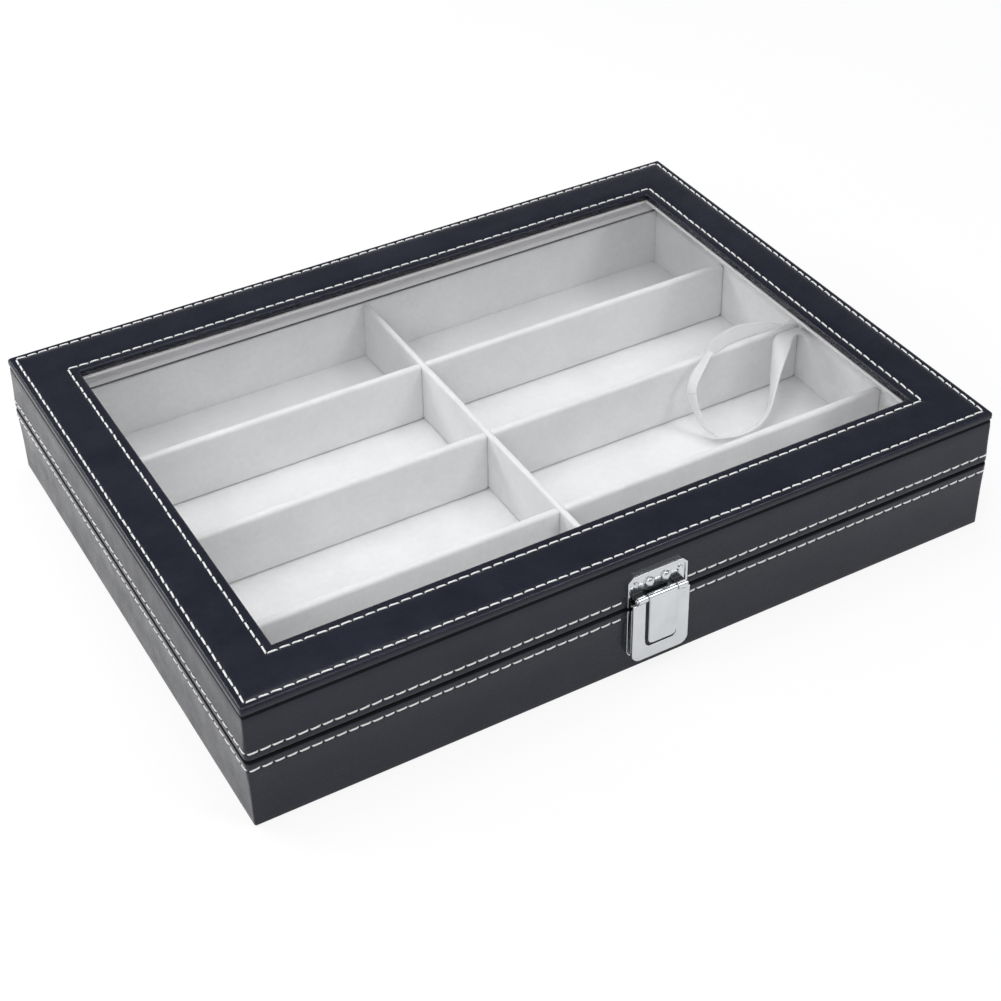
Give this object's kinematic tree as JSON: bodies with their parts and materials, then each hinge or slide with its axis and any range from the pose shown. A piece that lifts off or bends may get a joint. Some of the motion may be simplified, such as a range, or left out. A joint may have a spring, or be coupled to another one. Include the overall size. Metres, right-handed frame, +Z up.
{
  "type": "eyeglasses storage box",
  "caption": "Flat leatherette display box for glasses, with a hinged glass-topped lid, velvet compartments, a ribbon stay and a nickel hasp clasp",
  "frame": {"origin": "centre of the underside, on the surface that the closed box stands on, midway between the side walls and between the front and back walls", "axes": "+X along the front from left to right, +Y from the clasp side to the hinge side, +Z up through the glass"},
  "size_m": [0.335, 0.2568, 0.0585],
  "materials": {
    "black_leatherette": "fine-grained, semi-gloss",
    "fibreboard": "sawn fibreboard, hidden",
    "velvet_lining": "short light grey velvet",
    "velvet_floor": "short pale grey velvet",
    "velvet_divider": "short light grey velvet on card",
    "nickel": "bright nickel plate",
    "spring_steel": "rolled strip",
    "bottom_cloth": "matt non-woven",
    "foam": "thin foam sheet, hidden",
    "clear_glass": "clear float glass",
    "white_satin": "thin satin ribbon"
  },
  "bodies": {
    "base": {"base_front_board": "fibreboard", "base_back_board": "fibreboard", "base_left_board": "fibreboard", "base_right_board": "fibreboard", "base_floor_board": "fibreboard", "base_leather_wrap": "black_leatherette", "base_bottom_cover": "bottom_cloth", "base_floor_pad": "velvet_floor", "base_front_lining": "velvet_lining", "base_back_lining": "velvet_lining", "base_left_lining": "velvet_lining", "base_right_lining": "velvet_lining", "centre_divider": "velvet_divider", "row_divider_back": "velvet_divider", "row_divider_middle": "velvet_divider", "row_divider_front": "velvet_divider", "hinge_base_leaf_left": "nickel", "hinge_base_leaf_right": "nickel", "hinge_pin_left": "nickel", "hinge_pin_right": "nickel", "hinge_base_nails": "nickel", "clasp_catch_plate": "nickel", "clasp_catch_nails": "nickel", "clasp_stud": "nickel", "lid_stay_ribbon": "white_satin"},
    "lid": {"lid_front_rail": "fibreboard", "lid_back_rail": "fibreboard", "lid_left_rail": "fibreboard", "lid_right_rail": "fibreboard", "lid_top_board_front": "fibreboard", "lid_top_board_back": "fibreboard", "lid_top_board_left": "fibreboard", "lid_top_board_right": "fibreboard", "lid_side_leather": "black_leatherette", "lid_top_leather": "black_leatherette", "lid_top_padding": "foam", "lid_glass": "clear_glass", "lid_window_lining": "velvet_lining", "lid_front_lining": "velvet_lining", "lid_back_lining": "velvet_lining", "lid_left_lining": "velvet_lining", "lid_right_lining": "velvet_lining", "hinge_lid_leaf_left": "nickel", "hinge_lid_leaf_right": "nickel", "hinge_lid_nails": "nickel", "clasp_upper_plate": "nickel", "clasp_upper_nails": "nickel", "clasp_pin": "nickel"},
    "clasp_flap": {"clasp_flap": "nickel", "clasp_flap_clip": "spring_steel"}
  },
  "joints": [
    {"name": "lid_hinge", "type": "hinge", "parent": "base", "child": "lid", "pos_m": [0, 0.12555, 0.033], "axis": [-1, 0, 0], "range_deg": [0, 90], "deforming": ["lid_stay_ribbon"]},
    {"name": "clasp_flap_hinge", "type": "hinge", "parent": "lid", "child": "clasp_flap", "pos_m": [0.0034, -0.1279, 0.038], "axis": [-1, 0, 0], "range_deg": [0, 135]}
  ]
}
